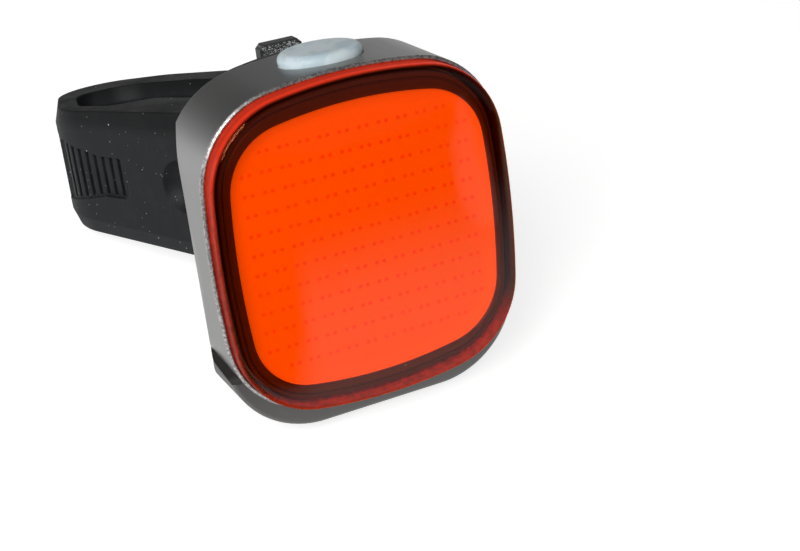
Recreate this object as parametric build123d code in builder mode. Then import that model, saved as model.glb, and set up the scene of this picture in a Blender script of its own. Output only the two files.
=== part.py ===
"""Rear bicycle light: a round-cornered red LED panel in a metal housing, on a rubber post strap.

The origin is on the axis of the post that the strap goes round, level with the middle of the LED grid.
+Z is up the post, the light faces -Y, and a depth is counted rearwards from the plane of the LEDs.
"""
import math
import os

from build123d import *

# Overall sizes, in millimetres
post_depth = 64.0  # from the LED plane back to the post's axis
post_radius = 14.0
lens_half_width = 22.9
lens_half_height = 24.4
lens_radius = 13.0
side_bow = 1.6  # how far the upright sides bow outwards
top_bow = 3.2  # how far the top and bottom bow outwards

# Housing
rim = 0.6  # metal shown around the lens
lens_gap = 0.1
rim_front = 1.1
shell_depth = 16.0  # depth of the housing's rear end
rim_chamfer = 0.3
tail_start = 9.4  # depth where the sides start to draw in
tail_draw = 2.9
tail_round = 18.0  # where the drawn-in sides begin
side_wall = 1.5  # at the rear end
top_wall = 1.6
cavity_radius = 11.0
chin_drop = 2.9  # how far the chin hangs below the lens
chin_radius = 13.8
chin_front = 1.9
chin_rear = 13.5
chin_rise_start = 7.0  # height over the lens's lower edge where the chin's face turns back
chin_slope = 3.8  # depth gained per millimetre of height on the chin's upper face
chin_edge = 0.6

# Front stack, as depths
lens_front = -2.3
lens_plate = 2.0
lens_edge = 1.1
skirt_wall = 1.05
skirt_back = 1.5
gasket_thickness = 0.4
board_thickness = 1.1
window_margin = 2.8  # from the lens edge in to the mask's window
window_radius = 10.0
mask_gap = 0.05
field_side_margin = 4.4  # from the lens's edge in to the LED field
field_top_margin = 6.5
row_pitch = 2.95
chip_pitch = 3.035
chip_width = 1.9
chip_height = 0.7
chip_thickness = 0.45
sheet_thickness = 0.35
sheet_gap = 0.05

# Inner frame, battery and main board
frame_gap = 0.2
frame_front_gap = 0.1
frame_wall = 1.4
ledge_width = 1.2
frame_rear = 13.0
boss_side_inset = 9.9  # from the lens's edge in to a screw
boss_top_inset = 6.9
boss_radius = 2.6
boss_bore_depth = 6.0
battery_side_gap = 3.8
battery_top_gap = 7.0  # below the switch plunger
battery_end_gap = 0.3
battery_thickness = 5.6
battery_gap = 0.4
battery_corner, battery_edge = 2.0, 1.5
pad_margin = 3.0
pad_top_margin = 3.35
pad_thickness = 0.9
pad_gap = 0.1
pad_corner = 1.0
pcb_thickness = 1.2
pcb_gap = 0.4
pcb_boss_gap = 1.0
pcb_tongue_gap = 0.5
pcb_tongue_reach = 1.3  # past the switch plunger
pcb_corner = 2.0
chip_side = 7.0
chip_rise = 1.0
chip_draft = 4.0  # degrees
chip_x, chip_z = -8.0, 3.0
coil_radius = 3.2
coil_rise = 3.0
coil_edge = 0.5
coil_x, coil_z = 8.0, 4.0
beacon_width, beacon_height, beacon_rise = 1.6, 0.8, 0.7
beacon_x, beacon_drop = 6.5, 2.5

# Button and its switch
button_depth = 9.2
button_half_width = 6.3
button_half_length = 5.2
button_gap = 0.15
button_proud = 1.4  # how far it stands above the housing
button_edge = 1.2
button_flange = 0.5
flange_thickness = 0.9
flange_gap = 0.6
button_travel = 0.5
stem_radius = 1.2
switch_width, switch_length, switch_height = 5.2, 3.0, 3.6
plunger_radius = 0.8
plunger_length = 0.9
plunger_sunk = 0.3  # of its length, inside the switch
plunger_fit = 0.05
plunger_drop = 6.1  # of its top, below the housing's top

# Charging socket and its flap
port_rise = 6.8  # above the lens's lower edge
socket_width, socket_height = 7.8, 2.9
socket_wall = 0.4
socket_bore = 5.0
socket_corner = 1.0
socket_gap = 0.4
flap_width, flap_height = 13.4, 6.4
flap_gap = 0.2
flap_recess = 1.2
flap_seat = 0.05
flap_corner, recess_corner = 1.5, 1.6
plug_width, plug_height, plug_length, plug_corner = 6.4, 1.2, 0.8, 0.5

# Rear cover, seal, rail and screws
seal_thickness = 0.4
seal_inset = 0.1
cover_margin = 0.5
cover_radius = 12.0
cover_thickness = 4.1
cover_wall = 2.0
cover_edge = 1.8
lip_gap = 0.3
neck_half_width = 5.0
neck_depth = 1.9
rail_half_width = 7.5
rail_depth = 2.0
rail_bottom, rail_top = -10.0, 11.0
screw_radius = 1.0
screw_head_radius = 2.2
screw_head_height = 1.25
screw_tip = 7.5
thread_fit = 0.04
hole_clearance = 0.15
head_recess = 1.5
slot_length, slot_width = 2.2, 0.6

# Bracket and release tab
slide_gap = 0.3
channel_wall = 2.0
plate_thickness = 2.5
plate_corner = 2.0
channel_top = 11.5
stop_thickness = 2.2
tab_half_width = 3.4
tab_thickness = 2.1
tab_root = 2.0
tab_top = 24.4
tab_slot = 0.5
tab_swing = 2.5  # room behind the tab
nose_half_width = 3.0
nose_height = 2.5
nose_overlap = 1.8
tab_corner = 0.7
tab_round = 0.49  # of its thickness, at the root
ear_reach = 9.8
ear_thickness = 1.5
ear_half_width = 9.0
ear_corner = 2.5
pin_radius = 1.25
pin_fit = 0.05
pin_depth = 33.8
stud_radius = 2.2
stud_head_radius = 3.2
stud_head = 1.4
stud_depth = 30.5
arm_half_height = 6.0
arm_margin = 1.0  # past the stud
arm_thickness = 1.15

# Strap
strap_gap = 0.3
base_half_width = 9.5
strap_half_height = 12.3  # at strap_height_depth
strap_height_depth = 44.2
strap_taper = 0.073  # lost on each side per millimetre rearwards
rim_inset, rim_drop = 0.8, 2.6
strap_bore_gap = 0.25
tongue_thickness = 4.0
tongue_end = 26.0
tongue_top = 7.0
tongue_length = 14.0
tongue_shoulder = 3.0
near_start = 34.3  # depth where the near strand leaves the saddle block
near_length = 37.2
near_angle = 29.1  # of the near strand to the fore-and-aft line, in degrees
saddle_rise = 1.7
scoop_radius = 5.5
scoop_sink = 2.6
scoop_along = 9.0  # along the near strand
grip_recess = 0.6
grip_reach = 4.0
grip_start, grip_middle, grip_end = 22.0, 28.0, 46.0  # along the near strand
grip_half_height = 3.6
grip_end_half_height = 7.2
grip_pitch = 1.85
grip_groove = 0.8
grip_margin = 0.3
grip_corner = 1.6
grip_grooves_count = 10


def facing(depth):
    """The plane at a depth behind the LEDs, seen from the front."""
    return Plane(origin=(0, depth - post_depth, 0), x_dir=(1, 0, 0), z_dir=(0, -1, 0))


def bowed(half_width, half_height, radius):
    """A round-cornered rectangle whose four sides bow outwards."""
    corner_x = half_width - side_bow
    corner_z = half_height - top_bow
    with BuildSketch() as outline:
        with BuildLine():
            ThreePointArc((-corner_x, corner_z), (0, half_height), (corner_x, corner_z))
            ThreePointArc((corner_x, corner_z), (half_width, 0), (corner_x, -corner_z))
            ThreePointArc((corner_x, -corner_z), (0, -half_height), (-corner_x, -corner_z))
            ThreePointArc((-corner_x, -corner_z), (-half_width, 0), (-corner_x, corner_z))
        make_face()
        fillet(outline.vertices(), radius)
    return outline.sketch


def lens_outline(inset):
    """The lens's outline, drawn in by an inset."""
    return bowed(lens_half_width - inset, lens_half_height - inset, lens_radius - inset)


def cavity_outline(inset):
    """The outline of the housing's hollow, drawn in by an inset."""
    half_height = lens_half_height + rim - top_wall
    return bowed(cavity_half_width - inset, half_height - inset, cavity_radius - inset)


def plan(points):
    """Points given as x and depth, as points of the XY plane."""
    return [(x, depth - post_depth) for x, depth in points]


board_front = skirt_back + gasket_thickness
board_back = board_front + board_thickness
boss_x = lens_half_width - boss_side_inset
boss_z = lens_half_height - boss_top_inset
boss_places = [(x, z) for x in (-boss_x, boss_x) for z in (-boss_z, boss_z)]
chips_in_row = int(2 * (lens_half_width - field_side_margin) / chip_pitch)
chip_rows = int(2 * (lens_half_height - field_top_margin) / row_pitch)
ledge_depth = board_back + battery_gap + battery_thickness + pad_thickness + pad_gap
lip_front = frame_rear + lip_gap
cover_front = shell_depth + seal_thickness
cover_back = cover_front + cover_thickness
port_z = port_rise - lens_half_height
rail_front = cover_back + neck_depth
rail_back = rail_front + rail_depth
plate_front = rail_back + slide_gap
plate_back = plate_front + plate_thickness
pcb_front = ledge_depth
pcb_back = pcb_front + pcb_thickness
shell_top = lens_half_height + rim
plunger_top = shell_top - plunger_drop
button_room = button_half_width + button_flange + pcb_gap
cavity_half_width = lens_half_width + rim - tail_draw - side_wall
chin_bottom = -lens_half_height - chin_drop

# Housing: a bowed tube whose sides draw in at the rear, with a chin below
half_width = lens_half_width + rim
tail_half_width = half_width - tail_draw
with BuildPart() as tail:
    with BuildSketch(Plane.XY) as tail_plan:
        with BuildLine():
            Polyline(
                plan(
                    [
                        (-half_width, rim_front),
                        (half_width, rim_front),
                        (half_width, tail_start),
                        (tail_half_width, shell_depth),
                        (-tail_half_width, shell_depth),
                        (-half_width, tail_start),
                    ]
                ),
                close=True,
            )
        make_face()
        for side in (-half_width, half_width):
            turn = tail_plan.vertices().sort_by_distance((side, tail_start - post_depth))[0]
            fillet(turn, tail_round)
    extrude(amount=2 * shell_top, both=True)

with BuildPart() as chin:
    with BuildSketch(facing(chin_front)) as chin_face:
        with BuildLine():
            Polyline(
                (-half_width, 0),
                (-half_width, chin_bottom),
                (half_width, chin_bottom),
                (half_width, 0),
                close=True,
            )
        make_face()
        fillet(chin_face.vertices().group_by(Axis.Y)[0], chin_radius)
    extrude(amount=chin_front - chin_rear)
    turn_z = -lens_half_height + chin_rise_start
    top_z = turn_z + (chin_rear - chin_front) / chin_slope
    with BuildSketch(Plane.YZ) as chin_side:
        with BuildLine():
            front, rear = chin_front - post_depth, chin_rear - post_depth
            below = 2 * chin_bottom
            Polyline((front, below), (rear, below), (rear, top_z), (front, turn_z), close=True)
        make_face()
    extrude(amount=2 * lens_half_width, both=True, mode=Mode.INTERSECT)
    rear_face = chin.faces().filter_by(Axis.Y).sort_by(Axis.Y)[-1]
    chamfer(rear_face.edges().sort_by(Axis.Z)[0], chin_edge)
    front_face = chin.faces().filter_by(Axis.Y).sort_by(Axis.Y)[0]
    fillet(front_face.edges().sort_by(Axis.Z)[0:3], chin_edge)
    add(tail.part, mode=Mode.INTERSECT)

with BuildPart() as housing_shell:
    with BuildSketch(facing(rim_front)):
        add(lens_outline(-rim))
    extrude(amount=rim_front - shell_depth)
    add(tail.part, mode=Mode.INTERSECT)
    shell_front = housing_shell.faces().filter_by(Axis.Y).sort_by(Axis.Y)[0]
    chamfer(shell_front.edges(), rim_chamfer)
    add(chin.part)
    with BuildSketch(facing(rim_front)):
        add(lens_outline(-lens_gap))
    extrude(amount=rim_front - board_back, mode=Mode.SUBTRACT)
    with BuildSketch(facing(board_back)):
        add(cavity_outline(0))
    extrude(amount=board_back - shell_depth, mode=Mode.SUBTRACT)
    with BuildSketch(Plane.XY.offset(shell_top - 2 * top_wall)):
        with Locations((0, button_depth - post_depth)):
            Ellipse(button_half_width + button_gap, button_half_length + button_gap)
    extrude(amount=4 * top_wall, mode=Mode.SUBTRACT)
housing_shell.part.label = "housing_shell"

# Front stack: lens, gasket, mask, LED layer and board
with BuildPart() as front_lens:
    with BuildSketch(facing(lens_front)):
        add(lens_outline(0))
    extrude(amount=lens_front - skirt_back)
    with BuildSketch(facing(lens_front + lens_plate)):
        add(lens_outline(skirt_wall))
    extrude(amount=lens_front + lens_plate - skirt_back, mode=Mode.SUBTRACT)
    fillet(front_lens.faces().sort_by(Axis.Y)[0].edges(), lens_edge)
front_lens.part.label = "front_lens"

with BuildPart() as lens_gasket:
    with BuildSketch(facing(skirt_back)):
        add(lens_outline(lens_gap))
        add(lens_outline(skirt_wall - lens_gap), mode=Mode.SUBTRACT)
    extrude(amount=-gasket_thickness)
lens_gasket.part.label = "lens_gasket"

mask_front = lens_front + lens_plate + mask_gap
with BuildPart() as bezel_mask:
    with BuildSketch(facing(mask_front)):
        add(lens_outline(skirt_wall + lens_gap))
        add(
            bowed(lens_half_width - window_margin, lens_half_height - window_margin, window_radius),
            mode=Mode.SUBTRACT,
        )
    extrude(amount=mask_front + mask_gap - board_front)
bezel_mask.part.label = "bezel_mask"

with BuildPart() as led_board:
    with BuildSketch(facing(board_front)):
        add(lens_outline(lens_gap))
    extrude(amount=-board_thickness)
led_board.part.label = "led_board"

with BuildPart() as led_chips:
    with BuildSketch(facing(board_front)):
        with GridLocations(chip_pitch, row_pitch, chips_in_row, chip_rows - 2):
            Rectangle(chip_width, chip_height)
        with GridLocations(chip_pitch, (chip_rows - 1) * row_pitch, chips_in_row - 2, 2):
            Rectangle(chip_width, chip_height)
    extrude(amount=chip_thickness)
led_chips.part.label = "led_chips"

with BuildPart() as phosphor_sheet:
    with BuildSketch(facing(board_front - chip_thickness - sheet_gap)):
        margin = window_margin + lens_gap
        add(bowed(lens_half_width - margin, lens_half_height - margin, window_radius - lens_gap))
    extrude(amount=sheet_thickness)
phosphor_sheet.part.label = "phosphor_sheet"

# Inner frame with its ledge and screw bosses
frame_front = board_back + frame_front_gap
with BuildPart() as inner_frame:
    with BuildSketch(facing(frame_front)):
        add(cavity_outline(frame_gap))
    extrude(amount=frame_front - frame_rear)
    with BuildSketch(facing(frame_front)):
        add(cavity_outline(frame_gap + frame_wall + ledge_width))
    extrude(amount=frame_front - frame_rear, mode=Mode.SUBTRACT)
    with BuildSketch(facing(ledge_depth)):
        add(cavity_outline(frame_gap + frame_wall))
    extrude(amount=ledge_depth - frame_rear, mode=Mode.SUBTRACT)
    with BuildSketch(facing(frame_front)):
        with Locations(boss_places):
            Circle(boss_radius)
    extrude(amount=frame_front - frame_rear)
    with BuildSketch(facing(boss_bore_depth)):
        with Locations(boss_places):
            Circle(screw_radius + thread_fit)
    extrude(amount=boss_bore_depth - frame_rear, mode=Mode.SUBTRACT)
    with BuildSketch(Plane.XY.offset(plunger_top - switch_height)):
        with Locations((0, button_depth - post_depth)):
            Rectangle(2 * button_room, 2 * (button_room - button_half_width + button_half_length))
    extrude(amount=shell_top, mode=Mode.SUBTRACT)
inner_frame.part.label = "inner_frame"

battery_front = board_back + battery_gap
battery_back = battery_front + battery_thickness
battery_bottom = battery_end_gap - boss_z + boss_radius
battery_top = plunger_top - battery_top_gap
battery_height = battery_top - battery_bottom
battery_middle = (battery_bottom + battery_top) / 2
battery_width = 2 * (cavity_half_width - battery_side_gap)
with BuildPart() as battery:
    with BuildSketch(facing(battery_front)):
        with Locations((0, battery_middle)):
            RectangleRounded(battery_width, battery_height, battery_corner)
    extrude(amount=-battery_thickness)
    fillet(battery.edges().filter_by(GeomType.LINE).filter_by(Axis.X), battery_edge)
battery.part.label = "battery"

with BuildPart() as battery_pad:
    with BuildSketch(facing(battery_back)):
        with Locations((0, battery_middle)):
            RectangleRounded(
                battery_width - 2 * pad_margin, battery_height - 2 * pad_top_margin, pad_corner
            )
    extrude(amount=-pad_thickness)
battery_pad.part.label = "battery_pad"

# Main board and what is soldered to it
pcb_half_width = cavity_half_width - frame_gap - frame_wall - pcb_gap
pcb_height = 2 * (boss_z - boss_radius - pcb_boss_gap)
tongue_width = 2 * (boss_x - boss_radius - pcb_tongue_gap)
tongue_half_height = plunger_top + pcb_tongue_reach
with BuildPart() as main_board:
    with BuildSketch(facing(pcb_front)):
        RectangleRounded(2 * pcb_half_width, pcb_height, pcb_corner)
        RectangleRounded(tongue_width, 2 * tongue_half_height, pcb_corner)
        add(cavity_outline(frame_gap + frame_wall + pcb_gap), mode=Mode.INTERSECT)
    extrude(amount=-pcb_thickness)
main_board.part.label = "main_board"

with BuildPart() as driver_chip:
    with BuildSketch(facing(pcb_back)):
        with Locations((chip_x, chip_z)):
            Rectangle(chip_side, chip_side)
    extrude(amount=-chip_rise, taper=chip_draft)
driver_chip.part.label = "driver_chip"

with BuildPart() as driver_coil:
    with BuildSketch(facing(pcb_back)):
        with Locations((coil_x, coil_z)):
            Circle(coil_radius)
    extrude(amount=-coil_rise)
    chamfer(driver_coil.faces().sort_by(Axis.Y)[-1].edges(), coil_edge)
driver_coil.part.label = "driver_coil"

with BuildPart() as indicator_led:
    with BuildSketch(facing(pcb_front)):
        with Locations((beacon_x, plunger_top - beacon_drop)):
            Rectangle(beacon_width, beacon_height)
    extrude(amount=beacon_rise)
indicator_led.part.label = "indicator_led"

switch_middle = pcb_front - switch_length / 2
switch_top = plunger_top - plunger_length + plunger_sunk
with BuildPart() as tact_switch:
    with BuildSketch(Plane.XY.offset(switch_top - switch_height)):
        with Locations((0, switch_middle - post_depth)):
            Rectangle(switch_width, switch_length)
    extrude(amount=switch_height)
    with Locations((0, switch_middle - post_depth, switch_top)):
        Hole(plunger_radius + plunger_fit, 2 * button_travel + plunger_length)
tact_switch.part.label = "tact_switch"

with BuildPart() as switch_plunger:
    with BuildSketch(Plane.XY.offset(plunger_top - plunger_length)):
        with Locations((0, switch_middle - post_depth)):
            Circle(plunger_radius)
    extrude(amount=plunger_length)
switch_plunger.part.label = "switch_plunger"

# Button: an oval cap, a flange under the housing's top wall and a stem on the switch
flange_top = shell_top - top_wall - flange_gap
with BuildPart() as power_button:
    with BuildSketch(Plane.XY.offset(flange_top)):
        with Locations((0, button_depth - post_depth)):
            Ellipse(button_half_width, button_half_length)
    extrude(amount=shell_top + button_proud - flange_top)
    fillet(power_button.faces().sort_by(Axis.Z)[-1].edges(), button_edge)
    with BuildSketch(Plane.XY.offset(flange_top - flange_thickness)):
        with Locations((0, button_depth - post_depth)):
            Ellipse(button_half_width + button_flange, button_half_length + button_flange)
    extrude(amount=flange_thickness)
    with BuildSketch(Plane.XY.offset(plunger_top)):
        with Locations((0, switch_middle - post_depth)):
            Circle(stem_radius)
    extrude(amount=flange_top - plunger_top)
power_button.part.label = "power_button"

# Charging socket and the rubber flap over it
socket_mouth = cover_back - flap_recess
with BuildPart() as usb_socket:
    with BuildSketch(facing(pcb_back)):
        with Locations((0, port_z)):
            RectangleRounded(socket_width, socket_height, socket_corner)
    extrude(amount=pcb_back - socket_mouth)
    with BuildSketch(facing(socket_mouth)):
        with Locations((0, port_z)):
            RectangleRounded(
                socket_width - 2 * socket_wall, socket_height - 2 * socket_wall, socket_corner - socket_wall
            )
    extrude(amount=socket_bore, mode=Mode.SUBTRACT)
usb_socket.part.label = "usb_socket"

flap_front = cover_back - flap_recess + flap_seat
with BuildPart() as port_cover:
    with BuildSketch(facing(flap_front)):
        with Locations((0, port_z)):
            RectangleRounded(flap_width, flap_height, flap_corner)
    extrude(amount=flap_front - cover_back)
    with BuildSketch(facing(flap_front)):
        with Locations((0, port_z)):
            RectangleRounded(plug_width, plug_height, plug_corner)
    extrude(amount=plug_length)
port_cover.part.label = "port_cover"

# Rear cover with its lip, screw posts and sliding rail
cover_half_width = lens_half_width + rim - tail_draw - cover_margin
cover_half_height = shell_top - cover_margin
with BuildPart() as rear_cover:
    with BuildSketch(facing(cover_front)):
        add(bowed(cover_half_width, cover_half_height, cover_radius))
    extrude(amount=cover_front - cover_back)
    fillet(rear_cover.faces().sort_by(Axis.Y)[-1].edges(), cover_edge)
    with BuildSketch(facing(lip_front)):
        add(cavity_outline(frame_gap))
    extrude(amount=lip_front - cover_front)
    with BuildSketch(facing(lip_front)):
        add(cavity_outline(frame_gap + frame_wall))
    extrude(amount=lip_front - cover_back + cover_wall, mode=Mode.SUBTRACT)
    with BuildSketch(facing(lip_front)):
        with Locations((0, shell_top)):
            Rectangle(2 * button_room, 2 * (shell_top - plunger_top))
    extrude(amount=lip_front - cover_front, mode=Mode.SUBTRACT)
    with BuildSketch(facing(lip_front)):
        with Locations(boss_places):
            Circle(boss_radius)
    extrude(amount=lip_front - cover_back + cover_wall)
    with BuildSketch(facing(lip_front)):
        with Locations(boss_places):
            Circle(screw_radius + hole_clearance)
    extrude(amount=lip_front - cover_back, mode=Mode.SUBTRACT)
    with BuildSketch(facing(cover_back - head_recess)):
        with Locations(boss_places):
            Circle(screw_head_radius + hole_clearance)
    extrude(amount=-2 * head_recess, mode=Mode.SUBTRACT)
    with BuildSketch(facing(cover_back - flap_recess)):
        with Locations((0, port_z)):
            RectangleRounded(flap_width + 2 * flap_gap, flap_height + 2 * flap_gap, recess_corner)
    extrude(amount=-2 * flap_recess, mode=Mode.SUBTRACT)
    with BuildSketch(facing(cover_back - 2 * cover_wall)):
        with Locations((0, port_z)):
            RectangleRounded(socket_width + 2 * socket_gap, socket_height + 2 * socket_gap, socket_corner)
    extrude(amount=-2 * cover_wall, mode=Mode.SUBTRACT)
    rail_middle = (rail_bottom + rail_top) / 2
    with BuildSketch(facing(cover_back - cover_wall / 2)):
        with Locations((0, rail_middle)):
            Rectangle(2 * neck_half_width, rail_top - rail_bottom)
    extrude(amount=cover_back - cover_wall / 2 - rail_back)
    with BuildSketch(facing(rail_front)):
        with Locations((0, rail_middle)):
            Rectangle(2 * rail_half_width, rail_top - rail_bottom)
    extrude(amount=-rail_depth)
rear_cover.part.label = "rear_cover"

with BuildPart() as cover_seal:
    with BuildSketch(facing(shell_depth)):
        add(bowed(cover_half_width - seal_inset, cover_half_height - seal_inset, cover_radius - seal_inset))
        add(cavity_outline(-seal_inset), mode=Mode.SUBTRACT)
    extrude(amount=-seal_thickness)
cover_seal.part.label = "cover_seal"

head_front = cover_back - head_recess
with BuildPart() as cover_screws:
    with BuildSketch(facing(screw_tip)):
        with Locations(boss_places):
            Circle(screw_radius)
    extrude(amount=screw_tip - head_front)
    with BuildSketch(facing(head_front)):
        with Locations(boss_places):
            Circle(screw_head_radius)
    extrude(amount=-screw_head_height)
    with BuildSketch(facing(head_front + screw_head_height)):
        with Locations(boss_places):
            Rectangle(slot_length, slot_width)
            Rectangle(slot_width, slot_length)
    extrude(amount=screw_head_height / 2, mode=Mode.SUBTRACT)
cover_screws.part.label = "cover_screws"

# Bracket: a channel for the rail, a rear plate with two ears, and a stud for the strap's free end
channel_half_width = rail_half_width + slide_gap + channel_wall
channel_bottom = rail_bottom - slide_gap / 3 - stop_thickness
strap_half_height_at_pin = strap_half_height + (strap_height_depth - plate_back) * strap_taper
ear_bottom = strap_half_height_at_pin + strap_gap
ear_rear = plate_back + ear_reach
with BuildPart() as bracket:
    with BuildSketch(Plane.XY.offset(channel_bottom)):
        with BuildLine():
            lip_x = neck_half_width + slide_gap
            wall_x = rail_half_width + slide_gap
            front = cover_back + slide_gap
            step = rail_front - slide_gap
            Polyline(
                plan(
                    [
                        (-channel_half_width, front),
                        (-lip_x, front),
                        (-lip_x, step),
                        (-wall_x, step),
                        (-wall_x, plate_front),
                        (wall_x, plate_front),
                        (wall_x, step),
                        (lip_x, step),
                        (lip_x, front),
                        (channel_half_width, front),
                        (channel_half_width, plate_back),
                        (-channel_half_width, plate_back),
                    ]
                ),
                close=True,
            )
        make_face()
    extrude(amount=channel_top - channel_bottom)
    with BuildSketch(Plane.XY.offset(channel_bottom)):
        with Locations((0, (front + plate_back) / 2 - post_depth)):
            Rectangle(2 * channel_half_width, plate_back - front)
    extrude(amount=stop_thickness)
    with BuildSketch(facing(plate_front)):
        RectangleRounded(2 * channel_half_width, 2 * (ear_bottom + ear_thickness), plate_corner)
    extrude(amount=-plate_thickness)
    for height in (ear_bottom, -ear_bottom - ear_thickness):
        with BuildSketch(Plane.XY.offset(height)):
            with Locations((0, (plate_front + ear_rear) / 2 - post_depth)):
                Rectangle(2 * ear_half_width, ear_rear - plate_front)
        extrude(amount=ear_thickness)
    fillet(bracket.edges().filter_by(Axis.Z).group_by(Axis.Y)[-1], ear_corner)
    with BuildSketch(Plane.XY.offset(tab_root - slide_gap)):
        with Locations((0, (plate_front + plate_back + tab_swing) / 2 - post_depth)):
            Rectangle(2 * (tab_half_width + tab_slot), plate_thickness + tab_swing + 2 * slide_gap)
    extrude(amount=tab_top, mode=Mode.SUBTRACT)
    with Locations((0, pin_depth - post_depth, ear_bottom + ear_thickness)):
        Hole(pin_radius + pin_fit, 2 * (ear_bottom + ear_thickness))
    arm_front, arm_rear = plate_front, stud_depth + stud_radius + arm_margin
    with BuildSketch(Plane.YZ.offset(channel_half_width)):
        with Locations(((arm_front + arm_rear) / 2 - post_depth, 0)):
            Rectangle(arm_rear - arm_front, 2 * arm_half_height)
    extrude(amount=arm_thickness)
    stud_foot = channel_half_width + arm_thickness
    with BuildSketch(Plane.YZ.offset(stud_foot)):
        with Locations((stud_depth - post_depth, 0)):
            Circle(stud_radius)
    extrude(amount=tongue_thickness + 2 * strap_gap + stud_head)
    with BuildSketch(Plane.YZ.offset(stud_foot + tongue_thickness + 2 * strap_gap)):
        with Locations((stud_depth - post_depth, 0)):
            Circle(stud_head_radius)
    extrude(amount=stud_head)
bracket.part.label = "bracket"

tab_front = plate_front + (plate_thickness - tab_thickness) / 2
with BuildPart() as release_tab:
    with BuildSketch(facing(tab_front)) as tab_face:
        with Locations((0, (tab_root + tab_top) / 2)):
            Rectangle(2 * tab_half_width, tab_top - tab_root)
        chamfer(tab_face.vertices().group_by(Axis.Y)[-1], tab_corner)
    extrude(amount=-tab_thickness)
    fillet(release_tab.edges().filter_by(Axis.X).group_by(Axis.Z)[0], tab_round * tab_thickness)
    with BuildSketch(facing(tab_front)):
        with Locations((0, rail_top + slide_gap + nose_height / 2)):
            Rectangle(2 * nose_half_width, nose_height)
    extrude(amount=tab_front - rail_back + nose_overlap)
release_tab.part.label = "release_tab"

with BuildPart() as strap_pin:
    with BuildSketch(Plane.XY.offset(-ear_bottom - ear_thickness)):
        with Locations((0, pin_depth - post_depth)):
            Circle(pin_radius)
    extrude(amount=2 * (ear_bottom + ear_thickness))
strap_pin.part.label = "strap_pin"

# Strap: a saddle block, the near strand, the turn with its grip panel, the far strand and a free end
base_front = plate_back + strap_gap
tongue_inner = channel_half_width + arm_thickness + strap_gap
tongue_outer = tongue_inner + tongue_thickness
saddle_bottom = post_depth - post_radius
saddle_half = math.sqrt(post_radius**2 - (post_radius - saddle_rise) ** 2)
near_x, near_depth = math.sin(math.radians(near_angle)), math.cos(math.radians(near_angle))
turn_corner = (-base_half_width - near_x * near_length, near_start + near_depth * near_length)
strap_corners = [  # x, depth and radius: round the outside first, then back along the inside
    (base_half_width, base_front, 1),
    (-base_half_width, base_front, 1),
    (-base_half_width, near_start, 6),
    (*turn_corner, 12),
    (-23.2, 83.6, 9),
    (-12.6, 84.3, 12),
    (-3.0, 78.2, 18),
    (tongue_outer + 1.8, 55.6, 10),
    (tongue_outer, 38.0, 20),
    (tongue_outer, tongue_end, 1.2),
    (tongue_inner, tongue_end, 1.2),
    (tongue_inner, 47.0, 6),
    (-2.4, 66.4, 18),
    (-11.8, 75.8, 8),
    (-20.4, 76.0, 3),
    (-22.4, 67.0, 3),
    (-18.5, 60.9, 5),
    (-11.2, 59.4, 5),
    (-saddle_half, saddle_bottom + saddle_rise, 2),
    (saddle_half, saddle_bottom + saddle_rise, 1.6),
]
with BuildSketch() as strap_plan:
    with BuildLine():
        Polyline(plan([(x, depth) for x, depth, radius in strap_corners]), close=True)
    make_face()
    for x, depth, radius in strap_corners:
        fillet(strap_plan.vertices().sort_by_distance((x, depth - post_depth))[0], radius)
near_face = Plane(
    origin=(-base_half_width, near_start - post_depth, 0),
    x_dir=(-near_x, near_depth, 0),
    z_dir=(-near_depth, -near_x, 0),
)

with BuildPart() as grip_panel:
    with BuildSketch(near_face.offset(-grip_reach)) as panel_face:
        with BuildLine():
            Polyline(
                (grip_start, -grip_half_height),
                (grip_start, grip_half_height),
                (grip_middle, grip_half_height),
                (grip_end, grip_end_half_height),
                (grip_end, -grip_end_half_height),
                (grip_middle, -grip_half_height),
                close=True,
            )
        make_face()
        fillet(panel_face.vertices().group_by(Axis.X)[0], grip_corner)
    extrude(amount=2 * grip_reach)
    with BuildSketch(Plane.XY.offset(-strap_half_height)):
        add(strap_plan.sketch)
        offset(strap_plan.sketch, amount=-grip_recess, mode=Mode.SUBTRACT)
    extrude(amount=2 * strap_half_height, mode=Mode.INTERSECT)

with BuildPart() as grip_grooves:
    with BuildSketch(near_face.offset(-grip_reach)):
        for groove in range(grip_grooves_count):
            along = grip_start + grip_pitch * (groove + 1)
            growth = max(0, along - grip_middle) / (grip_end - grip_middle)
            half = grip_half_height + growth * (grip_end_half_height - grip_half_height) - grip_margin
            with Locations((along, 0)):
                Rectangle(grip_groove, 2 * half)
    extrude(amount=2 * grip_reach)
    with BuildSketch(Plane.XY.offset(-strap_half_height)):
        add(strap_plan.sketch)
        offset(strap_plan.sketch, amount=-2 * grip_recess, mode=Mode.SUBTRACT)
    extrude(amount=2 * strap_half_height, mode=Mode.INTERSECT)

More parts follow.
